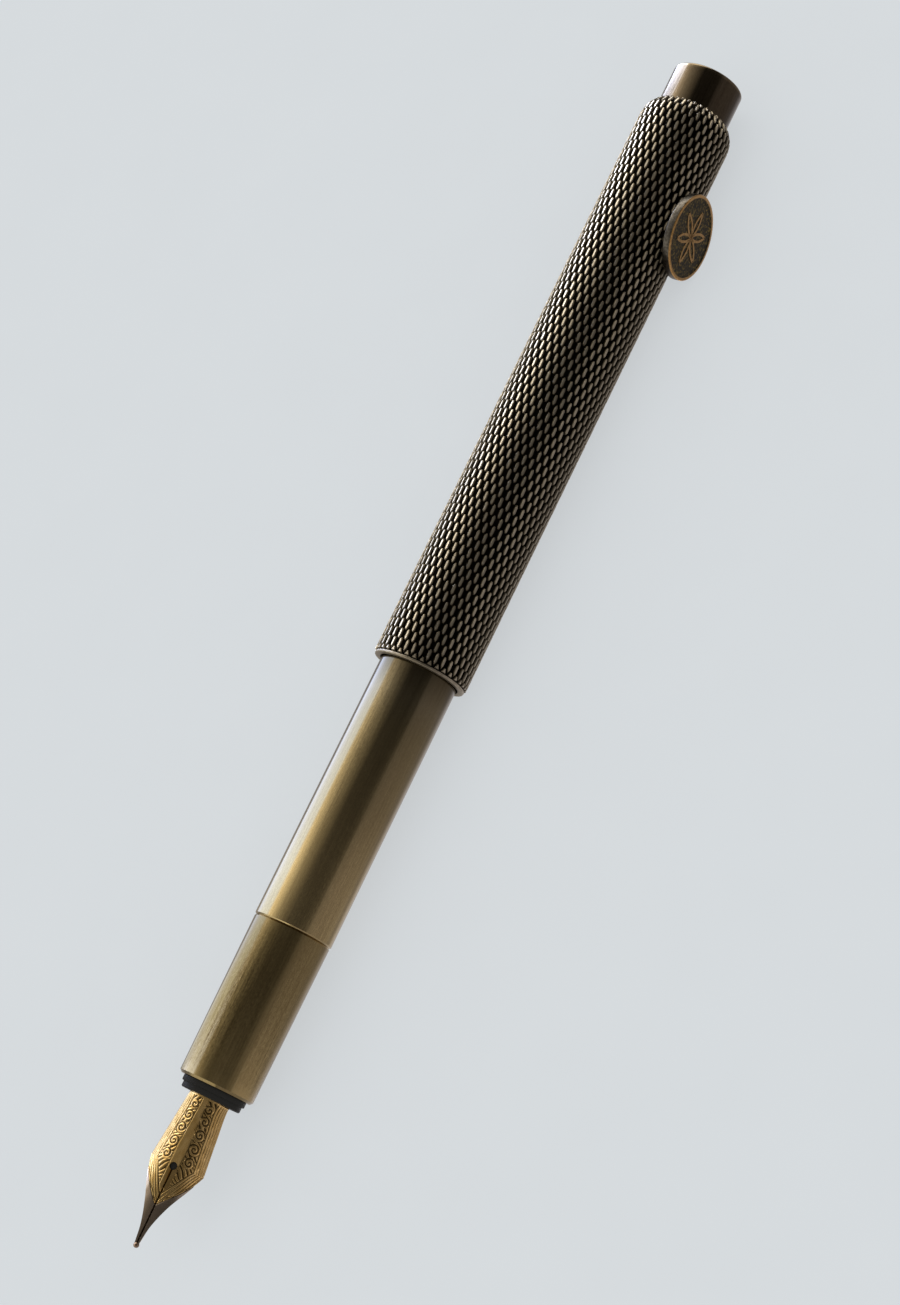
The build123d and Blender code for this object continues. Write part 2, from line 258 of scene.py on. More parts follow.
# %% Knurl pitch
DIAMONDS_ROUND = 37
DIAMOND_LENGTH = 2.37 * MM
KNURL_DEPTH = 0.34 * MM
LIP_LENGTH = 0.32 * MM
LIP_DROP = 0.16 * MM
LIP_R = CAP_R - LIP_DROP
SHOULDER_LENGTH = 2.6 * MM
SHOULDER_TOP_R = 4.7 * MM
shoulder_drop = CAP_R - SHOULDER_TOP_R
SHOULDER_ARC_R = (SHOULDER_LENGTH ** 2 + shoulder_drop ** 2) / (2 * shoulder_drop)
SHOULDER_X = CAP_TOP_X - SHOULDER_LENGTH
shoulder_turn = math.asin(SHOULDER_LENGTH / SHOULDER_ARC_R)
knurl_length = SHOULDER_X - MOUTH_X - LIP_LENGTH + SHOULDER_ARC_R * shoulder_turn
DIAMOND_ROWS = round(knurl_length / DIAMOND_LENGTH)
groove_r = CAP_R - KNURL_DEPTH
print("knurl:", DIAMONDS_ROUND, "by", DIAMOND_ROWS, "diamonds")

# %% Knurled tube
start_clean()
bpy.ops.mesh.primitive_cylinder_add(
    vertices=DIAMONDS_ROUND, radius=groove_r, depth=knurl_length, end_fill_type="NOTHING",
    rotation=(0, math.pi / 2, 0), location=on_axis(MOUTH_X + LIP_LENGTH + knurl_length / 2))
sleeve = settle("knurled_sleeve")
bpy.ops.object.mode_set(mode="EDIT")
pick(sleeve, "edges", lambda edge: abs(edge.verts[0].co.x - edge.verts[1].co.x) > MM)
bpy.ops.mesh.subdivide(number_cuts=DIAMOND_ROWS - 1)
bpy.ops.mesh.select_all(action="SELECT")
square_corners = len(bmesh.from_edit_mesh(sleeve.data).verts)
bpy.ops.mesh.poke()


def is_square_side(edge):
    """True for an inner edge between two corners of the first squares."""
    return len(edge.link_faces) == 2 and all(v.index < square_corners for v in edge.verts)


bmesh.from_edit_mesh(sleeve.data).verts.index_update()
pick(sleeve, "edges", is_square_side)
bpy.ops.mesh.dissolve_edges(use_verts=False)
print("diamonds and half diamonds:", len(bmesh.from_edit_mesh(sleeve.data).faces))

# %% [markdown]
# Poking has left the new points on the flat of each square, so all points are first set on the
# groove's radius. The two wheels that roll a knurl never sit quite alike, and one family of
# grooves comes out steeper, so the same loop gives the sleeve a slow twist.

# %% Round and twist the tube
WHEEL_SKEW = 0.093
mesh = bmesh.from_edit_mesh(sleeve.data)
twist_per_length = -WHEEL_SKEW * 2 * math.pi / (DIAMONDS_ROUND * DIAMOND_LENGTH)
for vert in mesh.verts:
    around = math.atan2(vert.co.z - AXIS_Z, vert.co.y - AXIS_Y)
    around += twist_per_length * (vert.co.x - MOUTH_X)
    vert.co.y = AXIS_Y + groove_r * math.cos(around)
    vert.co.z = AXIS_Z + groove_r * math.sin(around)
bmesh.update_edit_mesh(sleeve.data)
print("twist: %.1f degrees over the knurl" % math.degrees(twist_per_length * knurl_length))

# %% [markdown]
# A worn knurl has no sharp corners: where grooves cross they leave a pit, and each diamond ends
# up a blunt pill. Bevelling the crossings cuts the corners off. Pits have four corners and
# pills more, which tells them apart, except for the half pills at the sleeve's ends. Insetting
# each pill by itself raises it: the first step leaves a narrow flat groove, the other two are
# its steep flanks. Each point's height, from 0 in the groove to 1 on the crest, is kept.

# %% Raise the diamonds
PIT_REACH = 0.44 * MM
PIT_CORNERS = 4
FLANKS = [(0.05 * MM, 0.0), (0.08 * MM, KNURL_DEPTH * 0.6), (0.08 * MM, KNURL_DEPTH * 0.4)]
pick(sleeve, "verts", lambda vert: not vert.is_boundary)
bpy.ops.mesh.bevel(offset=PIT_REACH, affect="VERTICES")
pick(sleeve, "faces", lambda face: len(face.verts) > PIT_CORNERS
     or any(edge.is_boundary for edge in face.edges))
for flank_width, flank_rise in FLANKS:
    bpy.ops.mesh.inset(thickness=flank_width, depth=flank_rise, use_individual=True,
                       use_even_offset=True)
mesh = bmesh.from_edit_mesh(sleeve.data)
height_layer = mesh.verts.layers.float.new("knurl_height")
for vert in mesh.verts:
    vert[height_layer] = min(1.0, max(0.0, (radius_of(vert.co) - groove_r) / KNURL_DEPTH))
bmesh.update_edit_mesh(sleeve.data)
print("knurl:", len(mesh.faces), "faces")

# %% [markdown]
# What lies past the shoulder's start is bent round the shoulder's arc, crests and grooves
# alike. The lip and the bore are then extruded ring by ring, the way a lathe tool would cut
# them, from the groove at the mouth to the hole for the finial.

# %% Bend the knurl over the shoulder
for vert in mesh.verts:
    past = vert.co.x - SHOULDER_X
    if past > 0:
        reach = radius_of(vert.co)
        swing = past / SHOULDER_ARC_R
        arm = SHOULDER_ARC_R + reach - CAP_R
        new_reach = CAP_R - SHOULDER_ARC_R + arm * math.cos(swing)
        vert.co.x = SHOULDER_X + arm * math.sin(swing)
        move_out(vert, reach, new_reach)
bmesh.update_edit_mesh(sleeve.data)
mesh = bmesh.from_edit_mesh(sleeve.data)
edge_x = [vert.co.x for vert in mesh.verts if vert.is_boundary]
print("sleeve ends at stations %.2f and %.2f mm"
      % ((min(edge_x) - TIP_X) / MM, (max(edge_x) - TIP_X) / MM))

# %% Lip, bore and seat
CAP_BORE_R = 5.05 * MM
CLUTCH_SEAT_R = 5.44 * MM
clutch_low, clutch_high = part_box("cap_clutch_ring")
CLUTCH_GAP = 0.05 * MM
FINIAL_HOLE_R = 4.6 * MM
BORE_EDGE = 0.08 * MM
TOP_WALL = 0.3 * MM
lip_x = MOUTH_X + LIP_LENGTH
pick(sleeve, "edges", lambda edge: edge.is_boundary and middle(edge).x < lip_x + MM)
follow_outline([
    (lip_x, groove_r),
    (lip_x - 0.02 * MM, LIP_R),
    (MOUTH_X + 0.14 * MM, LIP_R),
    (MOUTH_X + 0.04 * MM, LIP_R - 0.05 * MM),
    (MOUTH_X, LIP_R - 0.16 * MM),
    (MOUTH_X, CAP_BORE_R + BORE_EDGE),
    (MOUTH_X + BORE_EDGE, CAP_BORE_R),
    (clutch_low.x - CLUTCH_GAP, CAP_BORE_R),
    (clutch_low.x - CLUTCH_GAP, CLUTCH_SEAT_R),
    (clutch_high.x + CLUTCH_GAP, CLUTCH_SEAT_R),
    (clutch_high.x + CLUTCH_GAP, CAP_BORE_R),
    (SHOULDER_X, CAP_BORE_R),
    (SHOULDER_X, FINIAL_HOLE_R),
    (CAP_TOP_X - TOP_WALL, FINIAL_HOLE_R)])
pick(sleeve, "edges", lambda edge: edge.is_boundary)
bpy.ops.mesh.bridge_edge_loops()
open_edges = sum(edge.is_boundary for edge in bmesh.from_edit_mesh(sleeve.data).edges)
print("open edges left:", open_edges)

# %% [markdown]
# The lip has no knurl but is rubbed nearly as bright as the crests, so its points are given a
# height too. Shading stays sharp where a flank meets the groove, and is smooth elsewhere.

# %% Rub the lip bright
LIP_HEIGHT = 0.72
CLOSE = 0.01 * MM
mesh = bmesh.from_edit_mesh(sleeve.data)
height_layer = mesh.verts.layers.float["knurl_height"]
for vert in mesh.verts:
    if vert.co.x < lip_x - CLOSE and radius_of(vert.co) > CAP_BORE_R + BORE_EDGE / 2:
        vert[height_layer] = LIP_HEIGHT
bmesh.update_edit_mesh(sleeve.data)
finish_piece(sleeve, "cap", "knurled_brass", "cap_sleeve")
smooth(sleeve, 50)

# %% [markdown]
# ## The nib
# A steel nib is stamped flat from sheet, punched with its breather hole, pressed over a former
# and engraved. The same order works here: a fine grid is cut to the outline, punched, pressed,
# given its thickness, and engraved by sinking its outer points. The grid is fine enough that
# the engraving is real, so it also shows in the shape without any material. The nib's outline
# is a list of half widths in mm, each at its station, and the former is a list of stations
# with the radius and the height of the arch there.

# %% Nib outline and former
NIB_ROLL = math.radians(25)
NIB_THICK = 0.3 * MM
NIB_START = 0.4
NIB_OUT = 18.5
NIB_TAIL = 28.0
SHOULDER = 10.2
TINES = [(0.4, 0.25), (2.8, 0.6), (5.5, 1.46), (8.2, 2.66), (SHOULDER, 3.35)]
NIB_BODY = [(SHOULDER, 3.35), (14.5, 2.88), (NIB_OUT, 2.5), (NIB_TAIL, 2.5)]
FORMER = [(0.0, 3.8, 1.7), (SHOULDER, 3.5, 2.5), (NIB_OUT, 2.5, 2.5), (NIB_TAIL, 2.5, 2.5)]


def smooth_through(points, at):
    """Height at one place of a smooth curve through (place, height) points."""
    last = len(points) - 1
    k = max(0, min(last - 1, sum(at > point[0] for point in points) - 1))
    slopes = []
    for i in (k, k + 1):
        before, after = points[max(0, i - 1)], points[min(last, i + 1)]
        slopes.append((after[1] - before[1]) / (after[0] - before[0]))
    (x0, y0), (x1, y1) = points[k], points[k + 1]
    t = (at - x0) / (x1 - x0)
    run = x1 - x0
    return ((2 * t ** 3 - 3 * t ** 2 + 1) * y0 + (t ** 3 - 2 * t ** 2 + t) * run * slopes[0]
            + (3 * t ** 2 - 2 * t ** 3) * y1 + (t ** 3 - t ** 2) * run * slopes[1])


# %% Width of the flat blank


def former_at(station):
    """Radius and top height of the former, in mm, at a station."""
    for (s0, r0, top0), (s1, r1, top1) in zip(FORMER, FORMER[1:]):
        if station <= s1:
            t = (station - s0) / (s1 - s0)
            return r0 + (r1 - r0) * t, top0 + (top1 - top0) * t
    return FORMER[-1][1:]


def blank_half_width(station):
    """Half the flat blank's width at a station, in mm, measured along the arch."""
    half = smooth_through(TINES if station < SHOULDER else NIB_BODY, station)
    radius = former_at(station)[0]
    return radius * math.asin(min(1.0, half / radius))


print("blank is %.1f mm wide at its shoulders" % (2 * blank_half_width(SHOULDER)))

# %% Stamp and punch the blank
ROWS = 300
COLUMNS = 100
BREATHER_AT = 10.0
BREATHER_R = 0.45
start_clean()
bpy.ops.mesh.primitive_grid_add(x_subdivisions=ROWS, y_subdivisions=COLUMNS, size=1)
nib = bpy.context.object
nib.scale = (NIB_OUT - NIB_START, 2, 1)
nib.location = ((NIB_OUT + NIB_START) / 2, 0, 0)
settle("nib_engraved")
bpy.ops.object.mode_set(mode="EDIT")
mesh = bmesh.from_edit_mesh(nib.data)
for vert in mesh.verts:
    vert.co.y *= blank_half_width(vert.co.x)
bmesh.update_edit_mesh(nib.data)
breather = Vector((BREATHER_AT, 0, 0))
pick(nib, "verts", lambda vert: (vert.co - breather).length < BREATHER_R)
bpy.ops.mesh.delete(type="VERT")
mesh = bmesh.from_edit_mesh(nib.data)
for vert in mesh.verts:
    if vert.is_boundary and (vert.co - breather).length < 2 * BREATHER_R:
        vert.co = breather + (vert.co - breather).normalized() * BREATHER_R
bmesh.update_edit_mesh(nib.data)
pick(nib, "edges", lambda edge: edge.is_boundary and middle(edge).x > NIB_OUT - 0.001)
bpy.ops.mesh.extrude_edges_move(TRANSFORM_OT_translate={"value": (NIB_TAIL - NIB_OUT, 0, 0)})
print("blank:", len(bmesh.from_edit_mesh(nib.data).verts), "points")

# %% Press it over the former
across = Vector((0, math.cos(NIB_ROLL), math.sin(NIB_ROLL)))
nib_top = Vector((0, -math.sin(NIB_ROLL), math.cos(NIB_ROLL)))


def pressed(station, distance):
    """The place of the blank's point, at a distance across from the middle line, in mm."""
    radius, top = former_at(station)
    bend = distance / radius
    up = top - radius + radius * math.cos(bend)
    out = radius * math.sin(bend)
    return on_axis(from_tip(station)) + (across * out + nib_top * up) * MM


mesh = bmesh.from_edit_mesh(nib.data)
for vert in mesh.verts:
    vert.co = pressed(vert.co.x, vert.co.y)
bmesh.update_edit_mesh(nib.data)
bpy.ops.object.mode_set(mode="OBJECT")
apply_modifier(nib, "SOLIDIFY", thickness=NIB_THICK, offset=-1.0)
print("nib:", len(nib.data.vertices), "points")

# %% [markdown]
# The engraving is two bands of scrolls and leaf strokes beside a plain centre panel, thin
# lines that follow the edges, and a pair of lines that meet on the slit, where the tines start.
# The slit is a groove, because the tines touch each other. Depths run from 0 for untouched
# metal to 1 for a full cut. A scroll is its eye's station, its radius and the way it turns, and
# an edge line is its distance from the edge and half its width, all in mm.

# %% Engraving pattern
CUT_DEPTH = 0.06 * MM
SLIT_DEPTH = 0.2 * MM
SLIT_HALF = 0.1
SCROLL_PITCH = 0.42
SCROLLS = [(17.3, 0.55, 1), (15.9, 0.62, -1), (14.3, 0.76, 1), (12.6, 0.8, -1), (11.0, 0.66, 1)]
EDGE_LINES = [(0.35, 0.06), (0.75, 0.06), (1.15, 0.06), (1.55, 0.06), (1.95, 0.09)]
LINE_HALF_WIDTH = 0.06
CHEVRON_START = 5.2
CHEVRON_END = 10.0
CHEVRON_REACH = 4.4
EDGE_BAND = 2.05
PANEL_NARROW = 0.35
PANEL_FLARE = 0.3
PANEL_LENGTH = 7
PLAIN_AT_COLLAR = 0.2
LEAF_PITCH = 0.5


print("scroll bands end %.2f mm from the edge" % EDGE_BAND)

# %% [markdown]
# A cut has a round bottom. Each pattern is a function of the station and of the distance from
# the middle line, and gives the depth there.

# %% Depth of the engraving


def ridge(distance, half):
    """1 on a line's middle, falling to 0 at half its width."""
    return max(0.0, 1.0 - abs(distance) / half) ** 0.5


def panel_half(station):
    """Half width of the plain centre panel."""
    t = min(1.0, max(0.0, (NIB_OUT - station) / PANEL_LENGTH))
    return PANEL_NARROW + PANEL_FLARE * t * t * (3 - 2 * t)


def chevron_at(distance):
    """Station of the lines that meet on the slit."""
    return CHEVRON_START + (CHEVRON_END - CHEVRON_START) * distance / CHEVRON_REACH


def scroll_cut(station, distance, inner, outer):
    """Depth of the scrolls and leaf strokes inside a band."""
    middle_of_band = (inner + outer) / 2
    for eye, size, hand in SCROLLS:
        along_it, across_it = station - eye, distance - middle_of_band
        reach = math.hypot(along_it, across_it)
        if reach < size:
            turn = hand * math.atan2(across_it, along_it) / (2 * math.pi)
            phase = (reach / SCROLL_PITCH - turn) % 1.0
            return ridge(phase - 0.35, 0.33)
    leaf = (station * 0.9 + distance * 0.75 + 0.2 * math.sin(2.3 * station)) / LEAF_PITCH % 1.0
    return ridge(leaf - 0.35, 0.3)


def engraved(station, distance):
    """Depth of the engraving at a point of the blank."""
    half = blank_half_width(station)
    if station > NIB_OUT - PLAIN_AT_COLLAR:
        return 0.0
    chevron = station - chevron_at(distance)
    cut = max(ridge(chevron, 0.07), ridge(chevron - 0.3, LINE_HALF_WIDTH))
    if chevron > 0:
        cut = max([cut] + [ridge(half - distance - inset, width) for inset, width in EDGE_LINES])
    inner, outer = panel_half(station), half - EDGE_BAND
    if chevron > 0.4 and station > BREATHER_AT - 2.5:
        cut = max(cut, ridge(distance - inner, LINE_HALF_WIDTH))
        if inner + LINE_HALF_WIDTH < distance < outer:
            cut = max(cut, scroll_cut(station, distance, inner, outer))
    return cut


print("depth in the band at station 14 mm:", round(engraved(14.0, 1.0), 2))

# %% [markdown]
# Only the outer skin is cut. Each point's depth is kept for the material, as is a mark on the
# tines. The inner side gets a little tarnish instead, because ink stains it.

# %% Engrave
SKIN = 0.15
INNER_TARNISH = 0.3
bpy.ops.object.mode_set(mode="EDIT")
mesh = bmesh.from_edit_mesh(nib.data)
cut_layer = mesh.verts.layers.float.new("cut")
tine_layer = mesh.verts.layers.float.new("tine")
for vert in mesh.verts:
    station = (vert.co.x - TIP_X) / MM
    radius, top = former_at(station)
    offset = (vert.co - on_axis(vert.co.x)) / MM
    up, out = offset.dot(nib_top) - top + radius, offset.dot(across)
    distance = abs(math.atan2(out, up)) * radius
    if math.hypot(up, out) > radius - SKIN:
        inward = -(across * out + nib_top * up).normalized()
        cut = engraved(station, distance)
        slit_half = min(SLIT_HALF, 0.3 * blank_half_width(max(station, NIB_START)))
        slit = ridge(distance, slit_half) if station < BREATHER_AT else 0.0
        vert.co += inward * max(cut * CUT_DEPTH, slit * SLIT_DEPTH)
        vert[cut_layer] = max(cut, slit)
        vert[tine_layer] = 1.0 if station < chevron_at(distance) else 0.0
    else:
        vert[cut_layer] = INNER_TARNISH
bmesh.update_edit_mesh(nib.data)
finish_piece(nib, "nib_unit", "gold_plate", "nib")
smooth(nib, 45)

# %% [markdown]
# ## The roll stop
# A coin of brass stands off the cap and stops the pen from rolling off a desk. Its face is
# recessed inside a rim and carries a six-petalled rosette, a plain geometric ornament. The coin
# is a cylinder whose face is inset and sunk. One arc of the rosette is spun from a small
# profile, and five copies are turned about the coin's middle.

# %% Coin
disc_low, disc_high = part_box("roll_stop_disc")
STOP_R = (disc_high.x - disc_low.x) / 2
STOP_THICK = 1.0 * MM
STOP_DROP = math.radians(5.17)
STOP_FACE = 7.46 * MM
RIM_WIDTH = 0.4 * MM
RIM_SLOPE = 0.06 * MM
RIM_HEIGHT = 0.1 * MM
FACE_BORDER = 0.4 * MM
stop_x = (disc_low.x + disc_high.x) / 2
outward = Vector((0, -math.cos(STOP_DROP), -math.sin(STOP_DROP)))
start_clean()
bpy.ops.mesh.primitive_cylinder_add(vertices=96, radius=STOP_R, depth=STOP_THICK)
coin = settle("roll_stop_coin")
bpy.ops.object.mode_set(mode="EDIT")
pick(coin, "faces", lambda face: face.normal.z > 0.9)
bpy.ops.mesh.inset(thickness=RIM_WIDTH)
bpy.ops.mesh.inset(thickness=RIM_SLOPE, depth=-RIM_HEIGHT)
bpy.ops.mesh.inset(thickness=FACE_BORDER)
pick(coin, "edges", lambda edge: edge.calc_face_angle(0) > 1.0
     and min(vert.co.xy.length for vert in edge.verts) > STOP_R - CLOSE)
bpy.ops.mesh.bevel(offset=0.12 * MM, segments=3)
bpy.ops.object.mode_set(mode="OBJECT")
print("coin radius %.2f mm" % (STOP_R / MM))

# %% Rosette
PETAL_R = 3.5 * MM
LINE_HALF = 0.16 * MM
LINE_HEIGHT = 0.05 * MM
PETALS = 6
face_z = STOP_THICK / 2 - RIM_HEIGHT
arc_start = math.radians(240)
ARC_SWEEP = math.radians(120)
start_clean()
bpy.ops.mesh.primitive_plane_add(
    size=2, rotation=(math.pi / 2, 0, arc_start),
    location=(PETAL_R * math.cos(arc_start), PETAL_R * math.sin(arc_start), face_z))
rosette = bpy.context.object
rosette.scale = (LINE_HALF, LINE_HEIGHT, 1)
settle("rosette")
bpy.ops.object.mode_set(mode="EDIT")
bpy.ops.mesh.select_all(action="SELECT")
bpy.ops.mesh.spin(steps=24, angle=ARC_SWEEP, center=(0, 0, 0), axis=(0, 0, 1))
pick(rosette, "faces", lambda face: True)
bpy.ops.transform.translate(value=(PETAL_R, 0, 0))
for number in range(PETALS - 1):
    bpy.ops.mesh.duplicate()
    bpy.ops.transform.rotate(value=2 * math.pi / PETALS, orient_axis="Z",
                             center_override=(0, 0, 0))
bpy.ops.object.mode_set(mode="OBJECT")
reach = max(vert.co.xy.length for vert in rosette.data.vertices)
print("rosette reaches %.2f mm from the coin's middle" % (reach / MM))

# %% [markdown]
# The rosette is joined to the coin, and the whole is set where the CAD puts the roll stop, with
# its face away from the cap. A value kept on the points marks what rubs bright: rim and lines.

# %% Set the coin on its post
SIDE_WORN = 0.5
wear = rosette.data.attributes.new("worn", "FLOAT", "POINT")
for vert in rosette.data.vertices:
    wear.data[vert.index].value = 1.0 if vert.co.z > face_z else 0.0
wear = coin.data.attributes.new("worn", "FLOAT", "POINT")
for vert in coin.data.vertices:
    on_rim = vert.co.z > face_z + CLOSE
    on_side = vert.co.xy.length > STOP_R - 0.2 * MM
    wear.data[vert.index].value = 1.0 if on_rim else SIDE_WORN if on_side else 0.0
start_clean()
rosette.select_set(True)
coin.select_set(True)
bpy.context.view_layer.objects.active = coin
bpy.ops.object.join()
sideways = outward.cross(along)
seat = Matrix((along, sideways, outward)).transposed().to_4x4()
coin.matrix_world = Matrix.Translation(
    on_axis(stop_x) + outward * (STOP_FACE - STOP_THICK / 2)) @ seat
settle("roll_stop_coin")
finish_piece(coin, "cap", "stop_brass", "roll_stop_disc")
smooth(coin, 35)

# %% [markdown]
# ## Turned and threaded plastic
# The collar that holds the nib and the core inside the grip are moulded black plastic with real
# screw threads. Each starts as a ring of points and is extruded along its outline like work on
# a lathe. The thread's part of the outline gets many rings, and moving every point out by its
# place on the screw line then raises the thread.

# %% Lathe and thread tools
RINGS_PER_TURN = 5
ROOT_REACH = 0.05


def on_lathe(name, sides, corners):
    """Turn a closed outline of (station in mm, radius in mm) corners about the pen's axis."""
    start_clean()
    outline = [(from_tip(station), radius * MM) for station, radius in corners]
    first_x, first_r = outline[0]
    bpy.ops.mesh.primitive_circle_add(vertices=sides, radius=first_r,
                                      location=on_axis(first_x), rotation=(0, math.pi / 2, 0))
    piece = settle(name)
    bpy.ops.object.mode_set(mode="EDIT")
    bpy.ops.mesh.select_all(action="SELECT")
    follow_outline(outline + outline[:1])
    bpy.ops.object.mode_set(mode="OBJECT")
    return piece


def thread_rows(thread):
    """Corners for a thread's stretch, from its end back to its start."""
    length = thread["end"] - thread["start"]
    count = round(length / thread["pitch"] * RINGS_PER_TURN)
    return [(thread["end"] - length * i / count, thread["root"]) for i in range(count + 1)]


def cut_thread(piece, start, end, pitch, root, crest):
    """Raise a right-hand thread between two stations, fading in at both ends."""
    for vert in piece.data.vertices:
        station = (vert.co.x - TIP_X) / MM
        reach = radius_of(vert.co) / MM
        if start < station < end and abs(reach - root) < ROOT_REACH:
            turn = math.atan2(vert.co.z - AXIS_Z, vert.co.y - AXIS_Y) / (2 * math.pi)
            phase = (station / pitch - turn) % 1.0
            fade = min(1.0, (station - start) / pitch, (end - station) / pitch)
            rise = (crest - root) * fade * min(1.0, 1.6 * (1 - abs(2 * phase - 1)))
            move_out(vert, reach, reach + rise)
    print("thread: %.1f turns" % ((end - start) / pitch))


# %% [markdown]
# The outlines are lists of (station, radius) in mm. The housing's runs from the collar's bore
# to the nipple, back over the thread and down the two steps of the collar.

# %% Nib housing
HOUSING_THREAD = {"start": 20.7, "end": 31.3, "pitch": 0.5, "root": 3.06, "crest": 3.29}
collar_start = (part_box("nib_housing")[0].x - TIP_X) / MM
housing = on_lathe("nib_housing_threaded", 64, [
    (collar_start + 0.05, 2.52), (30.0, 2.52), (30.0, 0.6), (36.5, 0.6), (36.5, 1.1),
    (36.35, 1.25), (31.5, 1.25), (31.5, 2.9), (31.35, 3.04)]
    + thread_rows(HOUSING_THREAD) + [
    (20.65, 3.0), (19.88, 3.0), (19.88, 3.9), (19.83, 3.95), (19.3, 3.95), (19.22, 3.9),
    (19.18, 3.72), (19.12, 3.7), (18.6, 3.7), (collar_start, 3.6), (collar_start, 2.6)])
cut_thread(housing, **HOUSING_THREAD)
finish_piece(housing, "nib_unit", "black_plastic", "nib_housing")
smooth(housing, 35)

# %% Grip core
CORE_THREAD = {"start": 41.05, "end": 47.2, "pitch": 0.75, "root": 3.4, "crest": 3.69}
core = on_lathe("section_core_threaded", 64, [
    (21.4, 3.35), (47.5, 3.35), (47.5, 3.38), (47.25, 3.4)]
    + thread_rows(CORE_THREAD) + [(39.9, 3.4), (39.9, 3.95), (21.4, 3.95)])
cut_thread(core, **CORE_THREAD)
finish_piece(core, "grip", "black_plastic", "section_core")
smooth(core, 35)

# %% [markdown]
# ## The converter's knob
# The filling knob has flutes along it so that wet fingers can turn it. Every second side of a
# cylinder is inset and sunk, which is how the mould cuts them too.

# %% Fluted knob
FLUTES = 20
FLUTE_DEPTH = 0.18 * MM
FLUTE_EDGE = 0.06 * MM
FLUTE_STATION = 87.75
knob = on_lathe("converter_knob_fluted", 2 * FLUTES, [
    (82.0, 0.92), (86.0, 0.92), (86.0, 0.02), (92.0, 0.02), (92.0, 2.4), (91.85, 2.7),
    (91.5, 2.9), (84.0, 2.9), (83.2, 2.9), (83.0, 2.75), (83.0, 1.3), (82.0, 1.3)])
bpy.ops.object.mode_set(mode="EDIT")
flute_middle = from_tip(FLUTE_STATION)
SIDE_ANGLE = math.pi / FLUTES


def is_flute(face):
    """True for every second long side of the knob."""
    spot = face.calc_center_median()
    side = int(round(math.atan2(spot.z - AXIS_Z, spot.y - AXIS_Y) / SIDE_ANGLE - 0.5))
    return abs(spot.x - flute_middle) < MM and side % 2 == 0


pick(knob, "faces", is_flute)
bpy.ops.mesh.normals_make_consistent(inside=False)
bpy.ops.mesh.inset(thickness=FLUTE_EDGE, depth=-FLUTE_DEPTH, use_individual=True)
bpy.ops.object.mode_set(mode="OBJECT")
finish_piece(knob, "knob", "black_plastic", "converter_knob")
smooth(knob, 30)

# %% [markdown]
# ## Materials
# One function adds a node, sets it and links it. Colours are written as sRGB hex values and
# turned to linear by one function. Each finish is named for the metal or plastic and for how
# its surface was made. Patterns are sized in real millimetres.

# %% Node and colour tools


def linear(code):
    """An sRGB hex colour as a linear RGBA value."""
    channels = [int(code[i:i + 2], 16) / 255 for i in (1, 3, 5)]
    return [c / 12.92 if c <= 0.04045 else ((c + 0.055) / 1.055) ** 2.4 for c in channels] + [1]


def add_node(tree, kind, settings=(), links=()):
    """Add a node. A setting is a property or a socket's value; a link joins a socket."""
    node = tree.nodes.new(kind)
    for key, value in dict(settings).items():
        if isinstance(key, str) and hasattr(node, key):
            setattr(node, key, value)
        else:
            node.inputs[key].default_value = value
    for key, source in dict(links).items():
        tree.links.new(source, node.inputs[key])
    return node


print("brass #B9A67C is linear", [round(channel, 3) for channel in linear("#B9A67C")])

# %% A new material and its ramps


def new_material(name):
    """A new material, its node tree and its Principled shader."""
    material = bpy.data.materials.new(name)
    material.use_nodes = True
    tree = material.node_tree
    return material, tree, tree.nodes["Principled BSDF"]


def linear_steps(tree, source, steps):
    """A colour ramp from (place, linear RGBA) steps."""
    ramp = add_node(tree, "ShaderNodeValToRGB", links={"Fac": source})
    elements = ramp.color_ramp.elements
    while len(elements) < len(steps):
        elements.new(0.5)
    for element, (place_on_ramp, colour_there) in zip(elements, steps):
        element.position = place_on_ramp
        element.color = colour_there
    return ramp.outputs["Color"]


def colour_steps(tree, source, *steps):
    """A colour ramp from (place, hex) steps."""
    return linear_steps(tree, source, [(spot, linear(code)) for spot, code in steps])


def span(tree, source, low, high, to_low=0.0, to_high=1.0):
    """Map a value from one range to another."""
    return add_node(tree, "ShaderNodeMapRange",
                    {"From Min": low, "From Max": high, "To Min": to_low, "To Max": to_high},
                    {"Value": source}).outputs["Result"]


# %% Mixing and bump


def mix(tree, factor, first, second, blend_type="MIX"):
    """Mix two colours. Each of the three is a value or another node's socket."""
    node = add_node(tree, "ShaderNodeMix", {"data_type": "RGBA", "blend_type": blend_type})
    for number, given in ((0, factor), (6, first), (7, second)):
        if isinstance(given, bpy.types.NodeSocket):
            tree.links.new(given, node.inputs[number])
        else:
            node.inputs[number].default_value = given
    return node.outputs[2]


def grain_bump(tree, shader, source, strength, height):
    """Let a pattern also raise the surface a little, so that it catches the light."""
    bump = add_node(tree, "ShaderNodeBump", {"Strength": strength, "Distance": height},
                    {"Height": source})
    tree.links.new(bump.outputs["Normal"], shader.inputs["Normal"])


# %% Coating pieces


def cad(*names):
    """The CAD objects with these names."""
    return [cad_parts[name] for name in names]


def coat(objects, material):
    """Give objects a material."""
    for thing in objects:
        thing.data.materials.clear()
        thing.data.materials.append(material)
    print(material.name + ":", ", ".join(thing.name for thing in objects))


# %% [markdown]
# ### Patinated brass, satin
# The grip, barrel and finial are turned brass, darkened in a bath and rubbed back lengthwise.
# That leaves an olive-brown skin with fine streaks along the pen, and brighter metal where
# hands rub it. The streaks are noise stretched along X.

# %% Noise along the pen


